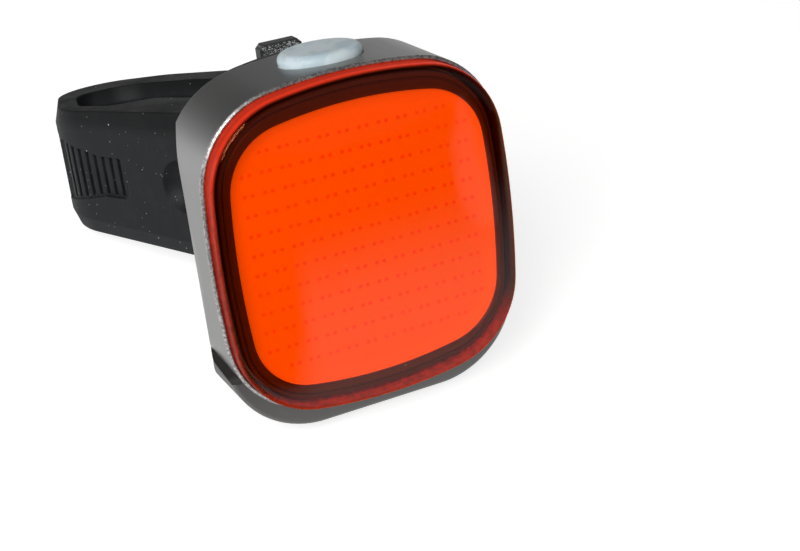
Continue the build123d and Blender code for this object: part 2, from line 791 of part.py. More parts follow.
with BuildPart() as strap:
    with BuildSketch(Plane.XY.offset(-2 * strap_half_height)):
        add(strap_plan.sketch)
    extrude(amount=4 * strap_half_height)
    with BuildSketch(Plane.YZ) as strap_side:
        with BuildLine():
            near, far = plate_front, 2 * post_depth
            near_half, far_half = (
                strap_half_height + (strap_height_depth - depth) * strap_taper for depth in (near, far)
            )
            Polyline(
                (near - post_depth, -near_half),
                (far - post_depth, -far_half),
                (far - post_depth, far_half),
                (near - post_depth, near_half),
                close=True,
            )
        make_face()
    extrude(amount=post_depth, both=True, mode=Mode.INTERSECT)
    for rim_face in (strap.faces().sort_by(Axis.Z)[-1], strap.faces().sort_by(Axis.Z)[0]):
        chamfer(rim_face.edges(), rim_inset, rim_drop, reference=rim_face)
    with BuildSketch(Plane.XY.offset(-2 * strap_half_height)):
        Circle(post_radius)
        with Locations((0, -post_radius)):
            Rectangle(2 * post_radius, 2 * saddle_rise, mode=Mode.INTERSECT)
    extrude(amount=4 * strap_half_height, mode=Mode.SUBTRACT)
    add(grip_panel.part, mode=Mode.SUBTRACT)
    add(grip_grooves.part, mode=Mode.SUBTRACT)
    with Locations(near_face.offset(scoop_radius - scoop_sink) * Pos(scoop_along, 0, 0)):
        Sphere(scoop_radius, mode=Mode.SUBTRACT)
    with Locations((0, pin_depth - post_depth, near_half)):
        Hole(pin_radius + strap_bore_gap, 2 * near_half)
    with BuildSketch(Plane.XY.offset(tab_root - tab_slot)):
        with Locations((0, base_front - post_depth)):
            Rectangle(2 * (tab_half_width + tab_slot), 2 * tab_swing)
    extrude(amount=strap_half_height * 2, mode=Mode.SUBTRACT)
    with BuildSketch(Plane.YZ.offset(tongue_inner - strap_gap)):
        with Locations((stud_depth - post_depth, 0)):
            Circle(stud_radius + strap_gap)
    extrude(amount=2 * tongue_thickness, mode=Mode.SUBTRACT)
    with BuildSketch(Plane.YZ.offset((tongue_inner + base_half_width) / 2)) as tongue_trim:
        with Locations((tongue_end - post_depth, 0)):
            Rectangle(2 * tongue_length, 4 * strap_half_height)
            Rectangle(2 * tongue_length, 2 * tongue_top, mode=Mode.SUBTRACT)
        fillet(tongue_trim.vertices().group_by(Axis.X)[-1].sort_by(Axis.Y)[1:3], tongue_shoulder)
    extrude(amount=2 * tongue_outer, mode=Mode.SUBTRACT)
strap.part.label = "strap"

os.makedirs("parts", exist_ok=True)
pieces = [
    housing_shell,
    front_lens,
    lens_gasket,
    bezel_mask,
    led_board,
    led_chips,
    phosphor_sheet,
    inner_frame,
    battery,
    battery_pad,
    main_board,
    driver_chip,
    driver_coil,
    indicator_led,
    tact_switch,
    switch_plunger,
    power_button,
    usb_socket,
    port_cover,
    rear_cover,
    cover_seal,
    cover_screws,
    bracket,
    release_tab,
    strap_pin,
    strap,
]
for piece in pieces:
    export_step(piece.part, f"parts/{piece.part.label}.step")
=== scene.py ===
"""Rear bicycle light with a post strap: finishes, clear lens, mask and sheet, LED field, screws and stage."""
import math

import bmesh
import bpy
from bpy.props import FloatProperty, FloatVectorProperty, IntProperty, PointerProperty
from mathutils import Matrix, Vector


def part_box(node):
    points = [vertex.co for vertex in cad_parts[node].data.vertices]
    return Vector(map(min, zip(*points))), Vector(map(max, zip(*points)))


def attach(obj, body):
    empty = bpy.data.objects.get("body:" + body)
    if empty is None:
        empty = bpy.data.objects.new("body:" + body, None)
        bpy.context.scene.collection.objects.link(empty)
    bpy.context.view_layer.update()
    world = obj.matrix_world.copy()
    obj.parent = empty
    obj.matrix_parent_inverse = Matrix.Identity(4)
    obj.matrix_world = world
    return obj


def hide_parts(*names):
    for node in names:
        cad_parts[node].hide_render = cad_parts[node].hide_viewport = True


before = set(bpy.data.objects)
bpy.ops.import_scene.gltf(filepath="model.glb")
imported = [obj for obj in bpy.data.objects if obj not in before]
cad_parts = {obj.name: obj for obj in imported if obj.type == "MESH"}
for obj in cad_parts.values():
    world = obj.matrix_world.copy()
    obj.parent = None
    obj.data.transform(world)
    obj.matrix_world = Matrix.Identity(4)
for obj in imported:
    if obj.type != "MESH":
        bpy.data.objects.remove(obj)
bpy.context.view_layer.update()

bl_info = {
    "name": "Rear bicycle light",
    "version": (1, 0, 0),
    "blender": (4, 5, 0),
    "location": "3D View > Sidebar > Bike light",
    "description": "Finishes and visible pieces of a rear bicycle light",
    "category": "Object",
}

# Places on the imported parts, in metres: each box is its lowest and highest corner.
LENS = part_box("front_lens")
LENS_FACE = LENS[0][1]
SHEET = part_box("phosphor_sheet")
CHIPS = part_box("led_chips")
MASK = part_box("bezel_mask")
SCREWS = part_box("cover_screws")
SCREW_HEAD = 0.0022  # radius of a packed screw's head, at the corners of its box
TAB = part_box("release_tab")
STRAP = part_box("strap")
STRAP_MIDDLE = (STRAP[0][2] + STRAP[1][2]) / 2
RIM_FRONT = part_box("housing_shell")[0][1]
# The chin: depth of its front and rear, height where its upper face starts, and that face's depth over height.
CHIN_FRONT, CHIN_REAR, CHIN_TOP, CHIN_SLOPE = -0.0621, -0.0505, -0.0174, 3.8
NEAR = 0.00005  # closer than this, two faces are taken as one
# Reds of the lens wall: its painted glow in darker blotches, dim, and in painted shade, and its surface in
# painted shade.
BLOTCH_GLOW, DIM_GLOW, SHADED_GLOW = (0.1, 0.003, 0.001), (0.12, 0.003, 0.001), (0.02, 0.001, 0.0)
SHADED_WALL = (0.03, 0.003, 0.001)
# The camera's axes at the photograph's angle.
CAMERA_RIGHT, CAMERA_UP = Vector((0.8962, -0.4281, -0.1160)), Vector((0.2597, 0.2941, 0.9198))
CAMERA_AHEAD = Vector((0.3596, 0.8545, -0.3747))
FLOOR_HALF = 1.5  # half the floor's side


# ---------------------------------------------------------------- node trees

class Link:
    """A socket in a node tree; sums and products of links add Math nodes."""

    def __init__(self, tree, socket):
        self.tree, self.socket = tree, socket

    def math(self, operation, other=None, swapped=False, clamp=False):
        inputs = {0: self} if other is None else {int(swapped): self, int(not swapped): other}
        return self.tree.node("ShaderNodeMath", {"operation": operation, "use_clamp": clamp}, inputs)

    def __add__(self, other):
        return self.math("ADD", other)

    def __sub__(self, other):
        return self.math("SUBTRACT", other)

    def __rsub__(self, other):
        return self.math("SUBTRACT", other, swapped=True)

    def __mul__(self, other):
        return self.math("MULTIPLY", other)

    def __truediv__(self, other):
        return self.math("DIVIDE", other)

    def __abs__(self):
        return self.math("ABSOLUTE")

    __radd__, __rmul__ = __add__, __mul__

    def clamp(self):
        return self.math("ADD", 0.0, clamp=True)

    def over(self, start, end):
        """0 below start, 1 above end, smooth between them."""
        return self.tree.node("ShaderNodeMapRange", {"interpolation_type": "SMOOTHSTEP"},
                              {"Value": self, "From Min": start, "From Max": end})

    def part(self, name):
        """Another output of this link's node."""
        return Link(self.tree, self.socket.node.outputs[name])


class Tree:
    """A node tree with one method that adds any node: its type, settings, input values or links, and output."""

    def __init__(self, nodes):
        self.nodes = nodes
        nodes.nodes.clear()

    def node(self, kind, settings=None, inputs=None, out=0):
        made = self.nodes.nodes.new(kind)
        for key, value in (settings or {}).items():
            setattr(made, key, value)
        for key, value in (inputs or {}).items():
            socket = made.inputs[key]
            if isinstance(value, Link):
                self.nodes.links.new(value.socket, socket)
            else:
                socket.default_value = value
        return Link(self, made.outputs[out]) if made.outputs else made


def rgb(colour):
    return (*colour[:3], 1.0)


class Finish(Tree):
    """A procedural material. Its patterns read Object coordinates, in metres."""

    def __init__(self, name):
        self.material = bpy.data.materials.new(name)
        self.material.use_nodes = True
        super().__init__(self.material.node_tree)
        self.place = self.node("ShaderNodeTexCoord").part("Object")

    def noise(self, scale, detail=2.0, rough=0.5, stretch=None):
        at = self.place
        if stretch:
            at = self.node("ShaderNodeMapping", {}, {"Vector": at, "Scale": stretch})
        return self.node("ShaderNodeTexNoise", {}, {"Vector": at, "Scale": scale, "Detail": detail,
                                                   "Roughness": rough}).part("Fac")

    def cells(self, scale):
        return self.node("ShaderNodeTexVoronoi", {"feature": "F1"}, {"Vector": self.place, "Scale": scale})

    def pick(self, cells, channel, start, end):
        """1 in the cells whose random colour has channel over end, 0 where it is under start."""
        return self.node("ShaderNodeSeparateColor", {}, {0: cells.part("Color")}).part(channel).over(start, end)

    def mix(self, factor, low, high):
        """Colours low to high by factor."""
        low = low if isinstance(low, Link) else rgb(low)
        high = high if isinstance(high, Link) else rgb(high)
        return self.node("ShaderNodeMix", {"data_type": "RGBA"}, {0: factor, 6: low, 7: high}, out=2)

    def axis(self, name):
        return self.node("ShaderNodeSeparateXYZ", {}, {0: self.place}).part(name)

    def place_xz(self):
        """Object coordinates with Z in the place of Y, for a pattern on an upright board."""
        return self.node("ShaderNodeCombineXYZ", {}, {0: self.axis("X"), 1: self.axis("Z")})

    def bump(self, height, depth, soft=0.0):
        """A surface normal from a height from 0 to 1, depth metres tall, over edges rounded by soft metres."""
        inputs = {"Height": height, "Strength": 1.0, "Distance": depth}
        if soft:
            inputs["Normal"] = self.round_edges(soft)
        return self.node("ShaderNodeBump", {}, inputs)

    def round_edges(self, radius):
        return self.node("ShaderNodeBevel", {"samples": 6}, {"Radius": radius})

    def principled(self, **inputs):
        named = {key.replace("_", " "): value for key, value in inputs.items()}
        return self.node("ShaderNodeBsdfPrincipled", {}, named)

    def finish(self, shader):
        self.node("ShaderNodeOutputMaterial", {}, {"Surface": shader})
        return self.material


def dust(f, scale, size, amount):
    """Specks of dust: 1 on a speck. Larger amount, more specks."""
    spots = f.cells(scale)
    near = 1 - spots.part("Distance").over(size * 0.5, size)
    return near * f.pick(spots, "Red", 1 - amount, 1.001 - amount)


def times(colour, share):
    """A colour with its red, green and blue times share."""
    return [c * share for c in colour[:3]]


# ---------------------------------------------------------------- finishes

def satin_metal(look):
    """The housing: satin metal, a bare speckled lip beside the lens, a chin darkened by painted shade."""
    f = Finish("satin_metal")
    cloud = f.noise(90.0, 4.0, 0.6)
    grain = f.noise(5200.0, 2.0, 0.7)
    scuff = f.noise(700.0, 5.0, 0.7)
    depth, height = f.axis("Y"), f.axis("Z")
    lip = 1 - depth.over(RIM_FRONT + 0.00035, RIM_FRONT + 0.0008)
    speckle = f.noise(2300.0, 3.0, 0.85).over(0.42, 0.60)
    colour = f.mix(cloud * 0.5 + scuff * 0.3, look.metal, times(look.metal, 1.14))
    colour = f.mix(lip * 0.2, colour, times(look.metal, 0.4))
    colour = f.mix(lip * speckle * 0.85, colour, look.metal_chamfer)
    # Painted shade: the chin is darker than the rest of the metal, and its sides and rear are nearly black and
    # not metallic.
    upper_face = CHIN_TOP + (depth - CHIN_FRONT) * (1 / CHIN_SLOPE)
    chin = (height - upper_face).math("LESS_THAN", NEAR) * depth.math("GREATER_THAN", CHIN_FRONT - NEAR)
    side = depth.over(CHIN_FRONT + 0.0002, CHIN_FRONT + 0.0022) * depth.math("LESS_THAN", CHIN_REAR + NEAR)
    black = chin * side
    colour = f.mix(chin, colour, times(look.metal, 0.54))
    colour = f.mix(black, colour, f.mix(grain * 0.6 + cloud * 0.4, look.chin, times(look.chin, 1.5)))
    rough = 0.33 + 0.1 * cloud + 0.08 * grain
    return f.finish(f.principled(Base_Color=colour, Metallic=(1 - black) * look.metal_share, Roughness=rough,
                                 Normal=f.bump(grain, 0.000006, 0.00025)))


def black_plastic(look):
    """Moulded black plastic with a little dust."""
    f = Finish("black_plastic")
    grain = f.noise(2600.0, 3.0, 0.6)
    cloud = f.noise(60.0, 3.0)
    grey = [c + 0.004 for c in times(look.plastic, 1.7)]
    colour = f.mix(cloud * 0.6 + grain * 0.4, look.plastic, grey)
    colour = f.mix(dust(f, 900.0, 0.09, 0.12) * 0.6, colour, (0.5, 0.52, 0.53))
    return f.finish(f.principled(Base_Color=colour, Roughness=0.42 + 0.2 * grain,
                                 Normal=f.bump(grain, 0.00002, 0.0003)))


def tab_plastic(look):
    """Grainy black plastic with pale flecks of painted glint on its face, and a smooth border along its top and
    sides.
    """
    f = Finish("tab_plastic")
    grain = f.noise(3400.0, 4.0, 0.75)
    spark = f.cells(2500.0)
    # Painted glints: sparse pale flecks on the grained face stand for its sparkle.
    glint = (1 - spark.part("Distance").over(0.12, 0.3)) * f.pick(spark, "Green", 0.35, 0.45)
    top, side = TAB[1][2], TAB[1][0]
    face = 1 - f.axis("Z").over(top - 0.00035, top - 0.0001)
    face = face * (1 - abs(f.axis("X")).over(side - 0.00045, side - 0.0002))
    painted_glints = glint.math("MAXIMUM", f.noise(5200.0, 2.0, 0.6).over(0.53, 0.62)) * face
    colour = f.mix(grain, look.plastic, (0.06, 0.06, 0.063))
    colour = f.mix(painted_glints * 0.9, colour, (0.72, 0.74, 0.76))
    return f.finish(f.principled(Base_Color=colour, Roughness=0.3 + 0.25 * grain,
                                 Normal=f.bump(grain * face, 0.00007, 0.0003)))


def strap_rubber(look):
    """Charcoal rubber, hazy and dusty, with painted shade along its top rim."""
    f = Finish("strap_rubber")
    grain = f.noise(3000.0, 3.0, 0.6)
    haze = f.noise(110.0, 4.0, 0.65).over(0.42, 0.75)
    smear = f.noise(340.0, 4.0, 0.7, stretch=(1, 1, 0.35)).over(0.5, 0.8)
    flat = f.mix(haze * 0.55 + smear * 0.3, look.rubber, look.rubber_dusty)
    # Painted shade: the top rim is darker.
    top = (f.axis("Z") - STRAP_MIDDLE).over(0.0075, 0.0100)
    flat = f.mix(top * 0.85, flat, times(look.rubber, 0.25))
    specks = dust(f, 620.0, 0.11, 0.26)
    fine = dust(f, 1500.0, 0.17, 0.10)
    colour = f.mix((specks * 0.9 + fine * 0.55).clamp(), flat, (0.62, 0.64, 0.64))
    return f.finish(f.principled(Base_Color=colour, Roughness=0.5 + 0.16 * haze + 0.06 * grain,
                                 Specular_IOR_Level=0.22, Normal=f.bump(grain * 0.5 + specks, 0.00003, 0.0004)))


def silicone(look):
    """Milky silicone with bluish clouds."""
    f = Finish("button_silicone")
    blotch = f.noise(240.0, 3.0, 0.55).over(0.42, 0.60)
    deep = f.noise(520.0, 3.0, 0.6).over(0.55, 0.78)
    grain = f.noise(2400.0, 2.0, 0.5)
    colour = f.mix(blotch * 0.6, look.button, look.button_blotch)
    colour = f.mix(deep * 0.3, colour, (0.78, 0.86, 0.88))
    return f.finish(f.principled(Base_Color=colour, Roughness=0.3 + 0.12 * grain, Subsurface_Weight=0.35,
                                 Subsurface_Radius=(0.6, 0.8, 1.0), Subsurface_Scale=0.0012,
                                 Normal=f.bump(grain, 0.00001, 0.0006)))


def lens_red(look):
    """Clear red plastic: the rim, looked at along its wall, is nearly solid red with a painted glow; the face
    mirrors a little.
    """
    f = Finish("lens_red")
    rim = f.node("ShaderNodeAttribute", {"attribute_name": "rim"}).part("Fac")
    wave = f.noise(60.0, 2.0)
    fine = f.noise(900.0, 3.0, 0.7)
    height, depth = f.axis("Z"), f.axis("Y") - LENS_FACE
    outside = 1 - f.node("ShaderNodeNewGeometry").part("Backfacing")

    # The wall: a painted glow stands for light running in it, brightest near the top and halfway down its depth,
    # with darker blotches more towards its low end.
    shade = (1 - outside) * height.over(-0.0215, -0.013)
    low_blotches = (1 - height.over(0.0, 0.018)) * 0.75 + 0.12
    bright = depth.over(0.0003, 0.0012) * (1 - depth.over(0.0014, 0.0021) * 0.55)
    lit = f.mix(height.over(-0.006, 0.024), look.rim_glow_low, look.rim_glow_top)
    lit = f.mix(1 - outside, lit, look.rim_glow_inside)
    lit = f.mix(fine.over(0.4, 0.62) * low_blotches * 0.6, lit, BLOTCH_GLOW)
    lit = f.mix((bright * 0.85 + 0.15 + 1 - outside).clamp(), DIM_GLOW, lit)
    wall = f.mix(fine.over(0.35, 0.65) * low_blotches, look.lens_rim, times(look.lens_rim, 0.4))
    solid = f.principled(Base_Color=f.mix(shade, wall, SHADED_WALL), Roughness=0.2 + 0.1 * fine,
                         Normal=f.bump(wave, 0.00006, 0.0003), Specular_IOR_Level=0.03, Emission_Strength=0.5,
                         Emission_Color=f.mix(shade, lit, SHADED_GLOW))

    # The face: clear, with a mirror tinted warm on the rounded edge as a painted orange glint, and a few fine
    # scratches.
    gloss = f.node("ShaderNodeFresnel", {}, {"IOR": look.lens_ior}) * outside
    scratch = dust(f, 420.0, 0.05, 0.07) * 0.25
    clear = f.node("ShaderNodeBsdfTransparent", {}, {"Color": rgb(look.lens_tint)})
    ripple = f.bump(wave, 0.00005)
    plain, warm = (f.node("ShaderNodeBsdfAnisotropic", {}, {"Color": rgb(tint), "Roughness": 0.05,
                                                           "Normal": ripple})
                   for tint in ((1, 1, 1), look.edge_mirror))
    mirror = f.node("ShaderNodeMixShader", {}, {0: depth.over(0.00027, 0.0004), 1: plain, 2: warm})
    see = f.node("ShaderNodeMixShader", {}, {0: (gloss + scratch).clamp(), 1: clear, 2: mirror})
    return f.finish(f.node("ShaderNodeMixShader", {}, {0: rim.over(0.15, 0.75) * 0.98, 1: see, 2: solid}))


def orange_sheet(look, size):
    """Orange layer in front of the LEDs, with a painted glow: each pair of dies shows as two soft darker dots.
    """
    f = Finish("orange_sheet")
    x, z = f.axis("X") - size.field_shift[0], f.axis("Z") - size.field_shift[1]
    column, row = x / size.led_pitch_x, z / size.led_pitch_z
    positive = 20.0  # whole pitches, added so that FRACT counts up on both sides of the middle
    dx = abs(abs((column + positive).math("FRACT") - 0.5) * size.led_pitch_x - size.die_offset)
    dz = ((row + positive).math("FRACT") - 0.5) * size.led_pitch_z
    dot = 1 - (dx * dx + dz * dz).math("SQRT").over(size.dot_radius * 0.3, size.dot_radius * 1.6)
    half_columns, half_rows = size.led_count / 2, size.led_rows / 2
    inside = abs(column).math("LESS_THAN", half_columns) * abs(row).math("LESS_THAN", half_rows)
    corner = abs(column).math("GREATER_THAN", half_columns - 1) * abs(row).math("GREATER_THAN", half_rows - 1)
    fade = f.noise(75.0, 2.0).over(0.3, 0.7) * 0.35 + 0.65
    cloud = f.noise(120.0, 3.0)
    dots = dot * fade * inside * (1 - corner)
    base = f.mix(cloud * 0.5, look.sheet, times(look.sheet, 0.93))
    colour = f.mix(dots * 0.75, base, look.sheet_dot)
    # Painted glow: emission stands for light on the sheet, which is no lamp; it is darker at the dots.
    red, green, blue = look.sheet_painted_glow
    glow = f.mix(dots * 0.75, look.sheet_painted_glow, (red * 0.93, green * 0.15, blue * 0.2))
    return f.finish(f.principled(Base_Color=colour, Roughness=0.5 + 0.2 * cloud, Emission_Color=glow,
                                 Emission_Strength=look.glow, Normal=f.bump(dots, 0.00006)))


def dark_mask(look):
    """Glossy dark plastic round the window."""
    f = Finish("dark_mask")
    grain = f.noise(1500.0, 3.0, 0.6)
    cloud = f.noise(80.0, 3.0)
    colour = f.mix(cloud, look.mask, [c + 0.002 for c in times(look.mask, 1.8)])
    return f.finish(f.principled(Base_Color=colour, Roughness=0.22 + 0.2 * grain,
                                 Normal=f.bump(grain, 0.00001, 0.0002)))


def soft_black():
    """Dull black rubber."""
    f = Finish("seal_rubber")
    grain = f.noise(2500.0, 3.0, 0.6)
    return f.finish(f.principled(Base_Color=f.mix(grain, (0.012, 0.012, 0.013), (0.03, 0.03, 0.032)),
                                 Roughness=0.7 + 0.15 * grain, Normal=f.bump(grain, 0.00002, 0.0002)))


def circuit_board(look):
    """Green solder mask with copper runs under it and tinned pads."""
    f = Finish("green_board")
    runs = f.node("ShaderNodeTexBrick", {"offset": 0.37, "squash": 1.0},
                  {"Vector": f.place_xz(), "Scale": 190.0, "Mortar Size": 0.035, "Mortar Smooth": 0.2,
                   "Brick Width": 1.3, "Row Height": 0.42}).part("Fac")
    grain = f.noise(1800.0, 2.0)
    colour = f.mix(runs * 0.6, look.board, times(look.board, 2.1))
    return f.finish(f.principled(Base_Color=colour, Roughness=0.3 + 0.15 * grain,
                                 Normal=f.bump(runs, 0.00003, 0.00008)))


def metal(name, base, rough, lines=0.0):
    """A bare or plated metal, with fine brushed lines where lines is more than 0."""
    f = Finish(name)
    cloud = f.noise(160.0, 4.0, 0.6)
    brush = f.noise(900.0, 3.0, 0.7, stretch=(1, 1, 14) if lines else None)
    colour = f.mix(cloud * 0.6 + brush * 0.4, times(base, 0.82), base)
    return f.finish(f.principled(Base_Color=colour, Metallic=1.0, Roughness=rough + 0.12 * brush,
                                 Normal=f.bump(brush, 0.000004 + 0.00001 * lines, 0.00012)))


def small_part(name, low, high, rough, scale=900.0, depth=0.00001):
    """A moulded or wrapped part: two shades in fine clouds."""
    f = Finish(name)
    grain = f.noise(scale, 3.0, 0.6)
    cloud = f.noise(scale / 9, 3.0)
    return f.finish(f.principled(Base_Color=f.mix(cloud * 0.6 + grain * 0.4, low, high),
                                 Roughness=rough + 0.15 * grain, Normal=f.bump(grain, depth, 0.0001)))


def wound_coil():
    """Copper turns in a dark ferrite body."""
    f = Finish("coil_dark")
    turns = (f.axis("Y") * 9000.0).math("SINE") * 0.5 + 0.5
    grain = f.noise(1200.0, 3.0)
    return f.finish(f.principled(Base_Color=f.mix(grain, (0.02, 0.019, 0.018), (0.06, 0.055, 0.05)),
                                 Roughness=0.5 + 0.2 * grain, Normal=f.bump(turns, 0.00004, 0.0002)))


# ---------------------------------------------------------------- mesh helpers

def new_piece(name, mesh, node):
    """A piece of the light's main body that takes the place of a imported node, and its finish."""
    piece = bpy.data.objects.new(name, mesh)
    bpy.context.scene.collection.objects.link(piece)
    mesh.materials.clear()
    mesh.materials.append(finish_of(node))
    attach(piece, "light")
    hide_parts(node)


def finish_of(node):
    """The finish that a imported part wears."""
    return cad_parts[node].material_slots[0].material


def smooth(mesh, angle=35.0):
    """Smooth shading except across edges sharper than angle degrees."""
    mesh.polygons.foreach_set("use_smooth", [True] * len(mesh.polygons))
    b = bmesh.new()
    b.from_mesh(mesh)
    for edge in b.edges:
        if len(edge.link_faces) == 2:
            edge.smooth = edge.calc_face_angle(0.0) < math.radians(angle)
    b.to_mesh(mesh)
    b.free()
    mesh.update()


def bowed_outline(half_x, half_z, corner, side_bow, top_bow, steps):
    """A rounded rectangle with bowed sides: points (x, z), anticlockwise, the same number for every inset."""
    cx, cz = half_x - side_bow, half_z - top_bow
    side_r = (cz * cz + side_bow * side_bow) / (2 * side_bow)
    top_r = (cx * cx + top_bow * top_bow) / (2 * top_bow)
    c1, c2 = Vector((half_x - side_r, 0)), Vector((0, half_z - top_r))
    r1, r2 = side_r - corner, top_r - corner
    gap = c2 - c1
    along = (r1 * r1 - r2 * r2 + gap.length_squared) / (2 * gap.length)
    off = math.sqrt(max(r1 * r1 - along * along, 0.0))
    unit = gap.normalized()
    normal = Vector((unit.y, -unit.x))
    centre = max((c1 + unit * along + normal * s * off for s in (1, -1)), key=lambda p: p.x + p.y)
    start = math.atan2(centre.y - c1.y, centre.x - c1.x)
    end = math.atan2(centre.y - c2.y, centre.x - c2.x)

    def arc(middle, radius, first, last):
        angles = (first + (last - first) * i / steps for i in range(steps))
        return [middle + radius * Vector((math.cos(a), math.sin(a))) for a in angles]

    quarter = arc(c1, side_r, 0, start) + arc(centre, corner, start, end) + arc(c2, top_r, end, math.pi / 2)
    right = [(p.x, p.y) for p in quarter]
    upper = right + [(0.0, half_z)] + [(-x, z) for x, z in reversed(right)]
    return upper + [(x, -z) for x, z in reversed(upper[1:-1])]


def lens_outline(size, inset):
    return bowed_outline(size.half_x - inset, size.half_z - inset, size.corner - inset, size.side_bow,
                         size.top_bow, size.outline_steps)


def loft(rings, cap_first=False, cap_last=False):
    """A mesh from rings of the same number of points, each a list of (x, y, z)."""
    mesh = bmesh.new()
    rows = [[mesh.verts.new(p) for p in ring] for ring in rings]
    count = len(rows[0])
    for low, high in zip(rows, rows[1:]):
        for i in range(count):
            j = (i + 1) % count
            mesh.faces.new((low[i], low[j], high[j], high[i]))
    for row, wanted in ((rows[0], cap_first), (rows[-1], cap_last)):
        if wanted:
            centre = mesh.verts.new(sum((v.co for v in row), Vector()) / count)
            for i in range(count):
                mesh.faces.new((row[i], row[(i + 1) % count], centre))
    return mesh


def to_mesh(b, name):
    """The bmesh as a mesh whose faces point outwards."""
    bmesh.ops.recalc_face_normals(b, faces=b.faces)
    if b.calc_volume(signed=True) < 0:
        bmesh.ops.reverse_faces(b, faces=b.faces)
    mesh = bpy.data.meshes.new(name)
    b.to_mesh(mesh)
    b.free()
    return mesh


def run_nodes(name, mesh, group, values):
    """The mesh that a geometry node group makes from mesh, with its named inputs set."""
    maker = bpy.data.objects.new(name + "_maker", mesh)
    bpy.context.scene.collection.objects.link(maker)
    modifier = maker.modifiers.new("build", "NODES")
    modifier.node_group = group
    for item in group.interface.items_tree:
        if item.item_type == "SOCKET" and item.in_out == "INPUT" and item.name in values:
            modifier[item.identifier] = values[item.name]
    bpy.context.view_layer.update()
    graph = bpy.context.evaluated_depsgraph_get()
    made = bpy.data.meshes.new_from_object(maker.evaluated_get(graph))
    made.name = name
    maker.modifiers.remove(modifier)
    bpy.data.objects.remove(maker)
    return made


def node_group(name, inputs):
    """An empty geometry node group with the given inputs, {name: (socket type, default)}, and its Tree."""
    group = bpy.data.node_groups.new(name, "GeometryNodeTree")
    group.interface.new_socket("Geometry", in_out="INPUT", socket_type="NodeSocketGeometry")
    for key, (kind, default) in inputs.items():
        socket = group.interface.new_socket(key, in_out="INPUT", socket_type=kind)
        if default is not None:
            socket.default_value = default
    group.interface.new_socket("Geometry", in_out="OUTPUT", socket_type="NodeSocketGeometry")
    return group, Tree(group)


def set_out(tree, given, grid, turns=None):
    """Ends a group: the geometry given stands at every point of the upright grid, made real, in its material."""
    upright = tree.node("GeometryNodeTransform", {}, {"Geometry": grid, "Rotation": (math.pi / 2, 0, 0)})
    inputs = {"Points": upright, "Instance": given.part("Geometry")}
    if turns is not None:
        inputs["Rotation"] = turns
    placed = tree.node("GeometryNodeInstanceOnPoints", {}, inputs)
    real = tree.node("GeometryNodeRealizeInstances", {}, {0: placed})
    painted = tree.node("GeometryNodeSetMaterial", {},
                        {"Geometry": real, "Material": given.part("Material")})
    tree.node("NodeGroupOutput", {}, {0: painted})


# ---------------------------------------------------------------- settings

def length(name, description, default, **more):
    return FloatProperty(name=name, description=description, default=default, unit="LENGTH",
                         subtype="DISTANCE", precision=5, **more)


def colour(name, description, default):
    return FloatVectorProperty(name=name, description=description, default=default, subtype="COLOR", size=3,
                               min=0.0, max=1.0)


class BikeLightSizes(bpy.types.PropertyGroup):
    """Sizes of the visible pieces."""
    half_x: length("Lens half width", "Half the width of the lens", (LENS[1][0] - LENS[0][0]) / 2)
    half_z: length("Lens half height", "Half the height of the lens", (LENS[1][2] - LENS[0][2]) / 2)
    corner: length("Lens corner", "Radius of the lens corners", 0.013)
    side_bow: length("Side bow", "How far the lens sides bow out", 0.0016)
    top_bow: length("Top bow", "How far the lens top and bottom bow out", 0.0032)
    plate: length("Lens plate", "Thickness of the lens plate", 0.002)
    skirt: length("Lens skirt", "Wall of the lens skirt", 0.00105)
    crown: length("Lens crown", "How far the lens face rises in the middle", 0.00025)
    edge: length("Lens edge", "Radius of the lens edge", 0.0011)
    window_corner: length("Window corner", "Radius of the window corners", 0.0095)
    led_pitch_x: length("LED pitch across", "From one LED package to the next in a row", 0.003035)
    led_pitch_z: length("LED pitch up", "From one row of LEDs to the next", 0.00295)
    led_count: IntProperty(name="LEDs in a row", description="Packages in each full row", default=12)
    led_rows: IntProperty(name="LED rows", description="Rows of packages", default=12)
    die_offset: length("Die offset", "From a package's middle to each of its two dies", 0.00059)
    dot_radius: length("Dot radius", "Radius of the dot that a die makes on the sheet", 0.00029)
    field_shift: FloatVectorProperty(name="Field shift", description="Of the dots, across and up", size=2,
                                     default=(0.00028, -0.0002), unit="LENGTH", precision=5)
    window_x: length("Window half width", "Half the width of the window in the mask", 0.0201)
    window_z: length("Window half height", "Half the height of the window in the mask", 0.0207)
    window_shift: FloatVectorProperty(name="Window shift", description="Of the window, across and up", size=2,
                                      default=(0.0003, -0.0003), unit="LENGTH", precision=5)
    outline_steps: IntProperty(name="Outline steps", description="Points on each arc of the lens outline",
                               default=14)
    screw_head: length("Screw head", "Radius of a cover screw's head", 0.0021)
    screw_core: length("Screw core", "Radius of a cover screw's core", 0.00085)


